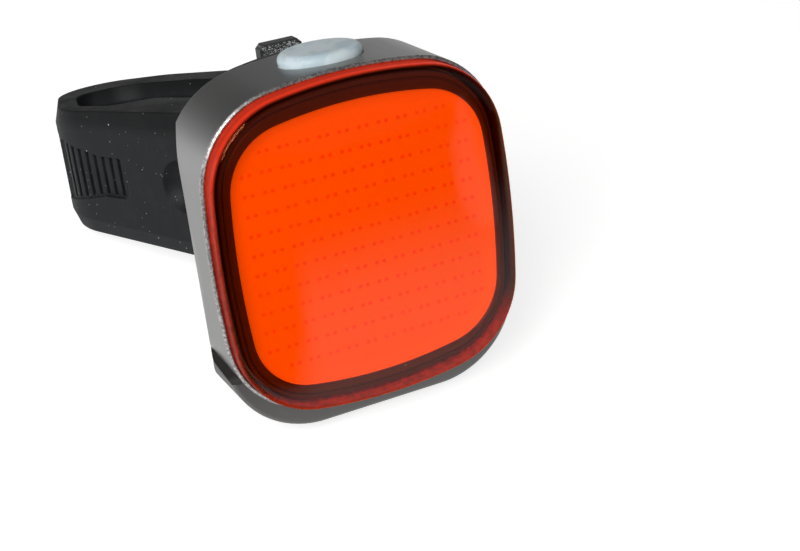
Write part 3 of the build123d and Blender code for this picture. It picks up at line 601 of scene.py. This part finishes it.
class BikeLightLooks(bpy.types.PropertyGroup):
    """Colours and shares of the finishes."""
    metal: colour("Housing", "Satin housing colour", (0.324, 0.324, 0.320))
    metal_share: FloatProperty(name="Metallic", description="How metallic the housing is", default=0.93,
                               min=0, max=1)
    # Painted shade: the near-black colour of the chin's sides and rear.
    chin: colour("Chin", "Dark satin chin under the lens", (0.022, 0.019, 0.018))
    metal_chamfer: colour("Chamfer", "Bare speckled edge beside the lens", (0.78, 0.76, 0.74))
    plastic: colour("Plastic", "Black plastic", (0.012, 0.012, 0.013))
    rubber: colour("Strap", "Charcoal strap rubber", (0.013, 0.0145, 0.016))
    rubber_dusty: colour("Dusty strap", "Strap rubber under dust", (0.036, 0.040, 0.043))
    button: colour("Button", "Milky silicone", (0.77, 0.88, 0.93))
    button_blotch: colour("Button blotches", "Bluish clouds in the silicone", (0.46, 0.62, 0.70))
    lens_tint: colour("Lens tint", "What one face of the lens lets through", (0.98, 0.58, 0.05))
    lens_ior: FloatProperty(name="Lens IOR", description="Sets how much the lens mirrors", default=1.42, min=1)
    lens_rim: colour("Lens rim", "The red of the lens wall", (0.34, 0.020, 0.008))
    # Painted glow of the lens wall, given by emission:
    rim_glow_low: colour("Low rim glow", "Light in the lens wall low down", (0.24, 0.012, 0.005))
    rim_glow_top: colour("Top rim glow", "Light in the lens wall at the top", (1.0, 0.05, 0.015))
    rim_glow_inside: colour("Inner rim glow", "Light in the lens wall seen from inside", (0.42, 0.012, 0.004))
    # Painted glint: the warm tint of the rounded edge's mirror.
    edge_mirror: colour("Edge mirror", "Tint of what the lens's rounded edge mirrors", (1.0, 0.3, 0.12))
    sheet: colour("Sheet", "Orange sheet over the LEDs", (1.0, 0.42, 0.06))
    sheet_dot: colour("Dots", "Sheet over a die", (0.93, 0.12, 0.012))
    # Painted glow: the sheet's emission colour and strength stand for light; the sheet is no lamp.
    sheet_painted_glow: colour("Sheet glow", "Fluorescent share of the sheet", (1.0, 0.26, 0.01))
    glow: FloatProperty(name="Glow", description="Strength of the sheet's fluorescence", default=0.40, min=0)
    mask: colour("Mask", "Dark mask round the window", (0.062, 0.034, 0.036))
    board: colour("Board", "Solder mask", (0.01, 0.11, 0.035))


class BikeLightStage(bpy.types.PropertyGroup):
    """Camera, floor and lamps."""
    camera_place: FloatVectorProperty(name="Camera", description="Place of the camera",
                                      default=(-0.08083, -0.26592, 0.08139), unit="LENGTH",
                                      subtype="TRANSLATION", precision=5)
    camera_lens: FloatProperty(name="Focal length", description="On a sensor 36 mm wide", default=72.9,
                               unit="CAMERA")
    floor_tilt: FloatProperty(name="Floor tilt", description="Lean of the floor under the resting light",
                              default=math.radians(14.3), unit="ROTATION", subtype="ANGLE")
    key: FloatProperty(name="Key lamp", description="Power of the large lamp beside the camera", default=2.6,
                       unit="POWER")
    side: FloatProperty(name="Side lamp", description="Power of the low lamp behind the left side",
                        default=0.78, unit="POWER")
    rear: FloatProperty(name="Rear lamp", description="Power of the lamp behind the right side", default=0.15,
                        unit="POWER")
    sky: FloatProperty(name="Surround", description="Strength of the plain surround", default=0.22)


# ---------------------------------------------------------------- operators

class BIKELIGHT_OT_finishes(bpy.types.Operator):
    """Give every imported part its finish"""
    bl_idname = "bikelight.finishes"
    bl_label = "Finishes"

    def execute(self, context):
        look = context.scene.bike_light_looks
        steel = metal("screw_steel", (0.42, 0.42, 0.42), 0.28)
        board = circuit_board(look)
        plastic = black_plastic(look)
        finishes = {
            "housing_shell": satin_metal(look),
            "front_lens": lens_red(look),
            "lens_gasket": soft_black(),
            "bezel_mask": dark_mask(look),
            "led_board": metal("board_metal", (0.62, 0.63, 0.64), 0.35),
            "led_chips": small_part("led_dots", (0.75, 0.62, 0.2), (0.9, 0.8, 0.4), 0.35),
            "phosphor_sheet": orange_sheet(look, context.scene.bike_light_sizes),
            "inner_frame": small_part("carrier_plastic", (0.02, 0.02, 0.021), (0.04, 0.04, 0.041), 0.5),
            "battery": small_part("cell_foil", (0.36, 0.37, 0.39), (0.5, 0.51, 0.52), 0.25, 400.0, 0.00004),
            "battery_pad": small_part("foam", (0.05, 0.05, 0.055), (0.11, 0.11, 0.115), 0.85, 1400.0, 0.00012),
            "main_board": board,
            "driver_chip": small_part("chip_black", (0.016, 0.016, 0.017), (0.03, 0.03, 0.031), 0.4),
            "driver_coil": wound_coil(),
            "indicator_led": small_part("indicator", (0.75, 0.72, 0.5), (0.9, 0.86, 0.66), 0.25),
            "tact_switch": metal("switch_metal", (0.6, 0.6, 0.6), 0.25),
            "switch_plunger": small_part("plunger", (0.02, 0.02, 0.022), (0.05, 0.05, 0.05), 0.4),
            "power_button": silicone(look),
            "usb_socket": metal("socket_steel", (0.58, 0.58, 0.57), 0.22, 1.0),
            "port_cover": soft_black(),
            "rear_cover": plastic,
            "cover_seal": soft_black(),
            "cover_screws": steel,
            "bracket": plastic,
            "release_tab": tab_plastic(look),
            "strap": strap_rubber(look),
            "strap_pin": metal("pin_steel", (0.52, 0.52, 0.51), 0.2, 1.0),
        }
        missing = set(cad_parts) - set(finishes)
        if missing:
            raise RuntimeError("no finish for " + ", ".join(sorted(missing)))
        for name, material in finishes.items():
            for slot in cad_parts[name].material_slots:
                slot.material = material
        return {"FINISHED"}


class BIKELIGHT_OT_lens(bpy.types.Operator):
    """Build the clear red lens with its crown, rounded edge and skirt"""
    bl_idname = "bikelight.lens"
    bl_label = "Lens"

    def execute(self, context):
        size = context.scene.bike_light_sizes
        front, back = LENS_FACE, LENS[1][1]
        flat = front + size.crown
        inner_flat = front + size.plate
        face_middle, face_end = size.corner * 0.92, 0.0016  # insets of the crowned face's first and last ring
        edge_steps, clear_steps = 6, 2  # rings round the edge, and those of them before the wall's red starts
        rings, rims = [], []

        def ring(inset, y, rim):
            rings.append([(x, y, z) for x, z in lens_outline(size, inset)])
            rims.append(rim)

        for share in (0.12, 0.3, 0.5, 0.7, 0.86):
            ring(face_middle * (1 - share) + face_end * share, flat - size.crown * (1 - share) * 0.9, 0.0)
        ring(size.edge + 0.0003, flat, 0.0)
        for i in range(1, edge_steps + 1):
            a = math.pi / 2 * i / edge_steps
            red = max(0.0, (i - clear_steps) / (edge_steps - clear_steps))
            ring(size.edge * (1 - math.sin(a)), flat + size.edge * (1 - math.cos(a)), red)
        ring(0.0, back, 1.0)
        ring(size.skirt, back, 0.0)
        ring(size.skirt, inner_flat + 0.0003, 0.0)
        for inset in (size.skirt + 0.0004, size.skirt + 0.0012, size.corner * 0.7):
            ring(inset, inner_flat, 0.0)
        b = loft(rings, cap_first=True, cap_last=True)
        layer = b.verts.layers.float.new("rim")
        b.verts.ensure_lookup_table()
        count = len(rings[0])
        for i, rim in enumerate(rims):
            for j in range(count):
                b.verts[i * count + j][layer] = rim
        mesh = to_mesh(b, "lens_cover")
        smooth(mesh, 40.0)
        new_piece("lens_cover", mesh, "front_lens")
        return {"FINISHED"}


class BIKELIGHT_OT_window(bpy.types.Operator):
    """Build the dark stepped mask and the orange tray that shows in its window"""
    bl_idname = "bikelight.window"
    bl_label = "Mask and sheet"

    def execute(self, context):
        size = context.scene.bike_light_sizes
        front, back = MASK[0][1], MASK[1][1]
        outer_x, outer_z = MASK[1][0], MASK[1][2]
        outer_corner = size.corner - (size.half_x - outer_x)

        def outline(share, y, grow=0.0):
            """A ring between the mask's outer edge, at share 0, and its window, at share 1."""
            half_x = outer_x + (size.window_x - outer_x) * share + grow
            half_z = outer_z + (size.window_z - outer_z) * share + grow
            corner = outer_corner + (size.window_corner - outer_corner) * share + grow
            side, top = size.side_bow * (1 - 0.2 * share), size.top_bow * (1 - 0.15 * share)
            dx, dz = (v * share for v in size.window_shift)
            return [(x + dx, y, z + dz) for x, z in bowed_outline(half_x, half_z, corner, side, top,
                                                                 size.outline_steps)]

        # The mask's section: share of the way to the window, and depth.
        steps = [(0.0, back), (0.0, front + 0.00045), (0.05, front + 0.0002), (0.12, front + 0.00012),
                 (0.3, front + 0.0001), (0.34, front + 0.0004), (0.42, front + 0.0004), (0.46, front + 0.00008),
                 (0.7, front + 0.00004), (0.9, front + 0.00004), (0.97, front + 0.0001), (1.0, front + 0.00025),
                 (0.97, front + 0.0005), (0.9, front + 0.0008), (0.8, back)]
        b = loft([outline(share, y) for share, y in steps] + [outline(0.0, back)])
        bmesh.ops.remove_doubles(b, verts=b.verts, dist=1e-7)
        mesh = to_mesh(b, "window_mask")
        smooth(mesh, 35.0)
        new_piece("window_mask", mesh, "bezel_mask")

        flat, thick = SHEET[0][1], SHEET[1][1] - SHEET[0][1]
        lip = front + 0.00055
        # The sheet's section: how far it grows past the window, and depth. It dishes up to a lip at the mask.
        tray = [(-0.009, flat), (-0.005, flat), (-0.0022, flat), (-0.0014, flat - 0.00006),
                (-0.0008, flat - 0.00028), (-0.0003, flat - 0.00065), (-0.00002, lip + 0.0001), (0.00012, lip),
                (0.0003, lip + 0.0002), (0.0001, flat - 0.00025), (-0.0006, flat + thick * 0.7),
                (-0.0014, flat + thick), (-0.005, flat + thick)]
        b = loft([outline(1.0, y, grow) for grow, y in tray], cap_first=True, cap_last=True)
        mesh = to_mesh(b, "led_sheet")
        smooth(mesh, 40.0)
        new_piece("led_sheet", mesh, "phosphor_sheet")
        return {"FINISHED"}


class BIKELIGHT_OT_leds(bpy.types.Operator):
    """Set the LED packages out on the board with geometry nodes"""
    bl_idname = "bikelight.leds"
    bl_label = "LED field"

    def execute(self, context):
        size = context.scene.bike_light_sizes
        width, height, dome_radius, body_share = 0.0019, 0.0007, 0.00024, 0.75
        back, depth = CHIPS[1][1], CHIPS[1][1] - CHIPS[0][1]
        b = bmesh.new()
        bmesh.ops.create_cube(b, size=1.0, matrix=Matrix.Diagonal((width, depth * body_share, height, 1.0)))
        for vert in b.verts:
            vert.co.y += back - depth * body_share / 2
        bmesh.ops.bevel(b, geom=b.edges[:], offset=0.00006, segments=1, affect="EDGES")
        for side in (-1, 1):
            dome = bmesh.ops.create_uvsphere(b, u_segments=10, v_segments=5, radius=dome_radius)
            for vert in dome["verts"]:
                vert.co.y *= depth * (1 - body_share) / dome_radius
                vert.co += Vector((side * size.die_offset, back - depth * body_share, 0))
        package = to_mesh(b, "led_package")
        group, tree = node_group("LED field", {
            "Columns": ("NodeSocketInt", 12), "Rows": ("NodeSocketInt", 12),
            "Pitch across": ("NodeSocketFloat", 0.003), "Pitch up": ("NodeSocketFloat", 0.003),
            "Material": ("NodeSocketMaterial", None)})
        given = tree.node("NodeGroupInput")
        columns, rows = given.part("Columns"), given.part("Rows")
        grid = tree.node("GeometryNodeMeshGrid", {}, {
            "Size X": (columns - 1) * given.part("Pitch across"), "Size Y": (rows - 1) * given.part("Pitch up"),
            "Vertices X": columns, "Vertices Y": rows})
        place = tree.node("GeometryNodeInputPosition")
        split = tree.node("ShaderNodeSeparateXYZ", {}, {0: place})
        outer_x = abs(split.part("X")).math("GREATER_THAN", (columns - 2) * given.part("Pitch across") * 0.5)
        outer_z = abs(split.part("Y")).math("GREATER_THAN", (rows - 2) * given.part("Pitch up") * 0.5)
        kept = tree.node("GeometryNodeDeleteGeometry", {"domain": "POINT"},
                         {"Geometry": grid, "Selection": outer_x * outer_z})
        set_out(tree, given, kept)
        made = run_nodes("led_packages", package, group, {
            "Columns": size.led_count, "Rows": size.led_rows, "Pitch across": size.led_pitch_x,
            "Pitch up": size.led_pitch_z, "Material": finish_of("led_chips")})
        smooth(made, 50.0)
        new_piece("led_packages", made, "led_chips")
        return {"FINISHED"}


class BIKELIGHT_OT_screws(bpy.types.Operator):
    """Turn one cover screw and set four of them in the corners with geometry nodes"""
    bl_idname = "bikelight.screws"
    bl_label = "Cover screws"

    def execute(self, context):
        size = context.scene.bike_light_sizes
        tip, top = SCREWS[0][1], SCREWS[1][1]
        head, core = size.screw_head, size.screw_core
        head_height, pitch, thread_depth, plain = 0.0013, 0.0006, 0.00035, 0.0012
        under = top - head_height
        # The section: radius and depth, from the point over the thread to the head.
        profile = [(0.0003, tip + 0.0002), (core * 0.7, tip + 0.0009)]
        y = tip + plain
        while y < under - plain:
            profile += [(core, y), (core + thread_depth, y + 0.00025), (core, y + 0.0005)]
            y += pitch
        profile += [(core, under - 0.0002), (core * 1.1, under), (head * 0.93, under),
                    (head, under + 0.00012), (head, under + 0.0007), (head * 0.94, under + 0.00098),
                    (head * 0.8, under + 0.00118), (head * 0.6, top)]
        sides = 48
        rings = [[(r * math.cos(2 * math.pi * i / sides), y, r * math.sin(2 * math.pi * i / sides))
                  for i in range(sides)] for r, y in profile]
        # The cross recess: the last rings dip inside a four-armed star.
        for scale, dip in ((0.5, 0.0), (0.42, -0.00045), (0.2, -0.0008)):
            ring = []
            for i in range(sides):
                a = 2 * math.pi * i / sides
                arm = abs(math.cos(2 * a)) ** 2.2
                r = head * scale * (0.34 + 0.66 * arm)
                ring.append((r * math.cos(a), top + dip, r * math.sin(a)))
            rings.append(ring)
        b = loft(rings, cap_first=True, cap_last=True)
        screw = to_mesh(b, "cover_screw")
        group, tree = node_group("Corner screws", {
            "Spread across": ("NodeSocketFloat", 0.027), "Spread up": ("NodeSocketFloat", 0.035),
            "Material": ("NodeSocketMaterial", None)})
        given = tree.node("NodeGroupInput")
        grid = tree.node("GeometryNodeMeshGrid", {}, {
            "Size X": given.part("Spread across"), "Size Y": given.part("Spread up"), "Vertices X": 2,
            "Vertices Y": 2})
        turn = tree.node("FunctionNodeRandomValue", {"data_type": "FLOAT"}, {2: 0.0, 3: 1.5, "Seed": 7}, out=1)
        turned = tree.node("FunctionNodeEulerToRotation", {},
                           {0: tree.node("ShaderNodeCombineXYZ", {}, {"Y": turn})})
        set_out(tree, given, grid, turned)
        spread_x = SCREWS[1][0] - SCREWS[0][0] - 2 * SCREW_HEAD
        spread_z = SCREWS[1][2] - SCREWS[0][2] - 2 * SCREW_HEAD
        made = run_nodes("corner_screws", screw, group, {
            "Spread across": spread_x, "Spread up": spread_z, "Material": finish_of("cover_screws")})
        smooth(made, 35.0)
        new_piece("corner_screws", made, "cover_screws")
        return {"FINISHED"}


class BIKELIGHT_OT_stage(bpy.types.Operator):
    """Camera at the photograph's angle, plain floor, lamps and surround"""
    bl_idname = "bikelight.stage"
    bl_label = "Stage"

    def execute(self, context):
        stage = context.scene.bike_light_stage
        scene = context.scene
        camera = bpy.data.objects.new("camera", bpy.data.cameras.new("camera"))
        scene.collection.objects.link(camera)
        turn = Matrix((CAMERA_RIGHT, CAMERA_UP, -CAMERA_AHEAD)).transposed().to_4x4()
        camera.matrix_world = Matrix.Translation(Vector(stage.camera_place)) @ turn
        camera.data.lens, camera.data.sensor_width = stage.camera_lens, 36.0
        camera.data.sensor_fit = "HORIZONTAL"
        camera.data.clip_start = 0.01
        scene.camera = camera
        scene.view_settings.view_transform = "Standard"

        tilt = stage.floor_tilt
        normal = Vector((0, -math.sin(tilt), math.cos(tilt)))
        low = min(normal.dot(vert.co) for name in ("strap", "housing_shell")
                  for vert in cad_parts[name].data.vertices)
        corners = [(FLOOR_HALF * x, FLOOR_HALF * y) for x, y in ((-1, -1), (1, -1), (1, 1), (-1, 1))]
        mesh = bpy.data.meshes.new("floor")
        mesh.from_pydata([(x, y, (low - normal.y * y) / normal.z) for x, y in corners], [], [range(4)])
        floor = bpy.data.objects.new("floor", mesh)
        scene.collection.objects.link(floor)
        mesh.materials.append(floor_finish())
        self.lamps(scene, stage)
        self.surround(scene, stage)
        return {"FINISHED"}

    def lamps(self, scene, stage):
        """Three plain area lamps, all turned to the light."""
        aim = Vector((-0.002, -0.045, 0.0))
        for name, place, width, height, power, tint in (
                ("key", (-0.30, -0.42, 0.30), 0.30, 0.26, stage.key, (1.0, 0.995, 0.985)),
                ("side", (-0.46, 0.30, 0.05), 0.22, 0.16, stage.side, (0.95, 0.98, 1.0)),
                ("rear", (0.34, 0.34, 0.30), 0.22, 0.18, stage.rear, (1.0, 1.0, 1.0))):
            data = bpy.data.lights.new(name, "AREA")
            data.shape, data.size, data.size_y = "RECTANGLE", width, height
            data.energy, data.color = power, tint
            lamp = bpy.data.objects.new(name, data)
            scene.collection.objects.link(lamp)
            lamp.location = place
            lamp.rotation_euler = (aim - Vector(place)).to_track_quat("-Z", "Z").to_euler()

    def surround(self, scene, stage):
        """White to the camera; to the object a plain surround, darker low down, high up and on the left."""
        world = scene.world or bpy.data.worlds.new("surround")
        scene.world = world
        world.use_nodes = True
        tree = Tree(world.node_tree)
        seen = tree.node("ShaderNodeLightPath").part("Is Camera Ray")
        direction = tree.node("ShaderNodeTexCoord").part("Generated")
        split = tree.node("ShaderNodeSeparateXYZ", {}, {0: direction})
        height, across = split.part("Z"), split.part("X")
        level = (0.55 + 0.45 * (1 - height.over(-0.1, 0.6))) * (0.1 + 0.9 * height.over(-0.35, -0.1))
        level = level * (0.15 + 0.85 * across.over(-0.4, 0.7))
        lit = tree.node("ShaderNodeBackground", {}, {"Color": (0.97, 0.985, 1.0, 1.0),
                                                     "Strength": level * stage.sky})
        white = tree.node("ShaderNodeBackground", {}, {"Color": (1, 1, 1, 1), "Strength": 1.0})
        mixed = tree.node("ShaderNodeMixShader", {}, {0: seen, 1: lit, 2: white})
        tree.node("ShaderNodeOutputWorld", {}, {"Surface": mixed})


def floor_finish():
    """Plain white floor that keeps a faint shadow and shows white to the camera; clear from below.

    What gloss mirrors of it is black away from the light, but for a bright sheet in front, cut off on the left
    along a slanted edge, and a narrow slanted strip on the right.
    """
    edge_slant, edge_place, strip_slant, strip_place, brightest = 0.33, 0.0349, 0.51, 0.022, 0.81
    f = Finish("floor_white")
    path = f.node("ShaderNodeLightPath")
    camera, glossy = path.part("Is Camera Ray"), path.part("Is Glossy Ray")
    seen = (camera + glossy + path.part("Is Transmission Ray")).clamp()
    below = f.node("ShaderNodeNewGeometry").part("Backfacing")
    across, along = f.axis("X"), f.axis("Y")
    lit = f.node("ShaderNodeBsdfDiffuse", {}, {"Color": rgb((0.5, 0.5, 0.5))})
    away = (across * across + along * along).math("SQRT").over(0.25, 0.6) * camera
    white = f.mix(away, (0.8, 0.8, 0.8), (1, 1, 1))
    bright = f.node("ShaderNodeAddShader", {}, {
        0: lit, 1: f.node("ShaderNodeEmission", {}, {"Color": white, "Strength": 1.0})})

    near = along.over(-0.42, -0.13)
    left = 1 - (across + along * edge_slant + edge_place).over(-0.004, 0.004)
    cut = left * (1 - along.over(-0.12, -0.09))
    strip = across + along * strip_slant + strip_place
    strip = strip.over(0.004, 0.012) * (1 - strip.over(0.014, 0.026)) * (1 - along.over(-0.25, -0.2))
    level = (near * near * (1 - cut)).math("MAXIMUM", strip) * brightest
    dark = f.node("ShaderNodeEmission", {}, {"Color": rgb((0, 0, 0)), "Strength": 0.0})
    shown = f.node("ShaderNodeMixShader", {}, {0: glossy * (1 - level), 1: bright, 2: dark})
    top = f.node("ShaderNodeMixShader", {}, {0: seen, 1: lit, 2: shown})
    clear = f.node("ShaderNodeBsdfTransparent", {}, {"Color": rgb((1, 1, 1))})
    return f.finish(f.node("ShaderNodeMixShader", {}, {0: below, 1: top, 2: clear}))


OPERATORS = (BIKELIGHT_OT_finishes, BIKELIGHT_OT_lens, BIKELIGHT_OT_window, BIKELIGHT_OT_leds,
             BIKELIGHT_OT_screws, BIKELIGHT_OT_stage)


class BIKELIGHT_PT_panel(bpy.types.Panel):
    """Sizes, colours and pieces of the bike light"""
    bl_idname = "BIKELIGHT_PT_panel"
    bl_label = "Bike light"
    bl_space_type = "VIEW_3D"
    bl_region_type = "UI"
    bl_category = "Bike light"

    def draw(self, context):
        for operator in OPERATORS:
            self.layout.operator(operator.bl_idname)
        for group in (context.scene.bike_light_sizes, context.scene.bike_light_looks,
                      context.scene.bike_light_stage):
            box = self.layout.box()
            for name in group.bl_rna.properties.keys():
                if name not in ("rna_type", "name"):
                    box.prop(group, name)


CLASSES = (BikeLightSizes, BikeLightLooks, BikeLightStage, *OPERATORS, BIKELIGHT_PT_panel)


def register():
    for item in CLASSES:
        bpy.utils.register_class(item)
    bpy.types.Scene.bike_light_sizes = PointerProperty(type=BikeLightSizes)
    bpy.types.Scene.bike_light_looks = PointerProperty(type=BikeLightLooks)
    bpy.types.Scene.bike_light_stage = PointerProperty(type=BikeLightStage)


def unregister():
    for name in ("bike_light_sizes", "bike_light_looks", "bike_light_stage"):
        delattr(bpy.types.Scene, name)
    for item in reversed(CLASSES):
        bpy.utils.unregister_class(item)


def main():
    register()
    for operator in OPERATORS:
        group, name = operator.bl_idname.split(".")
        getattr(getattr(bpy.ops, group), name)()


if __name__ == "__main__":
    main()
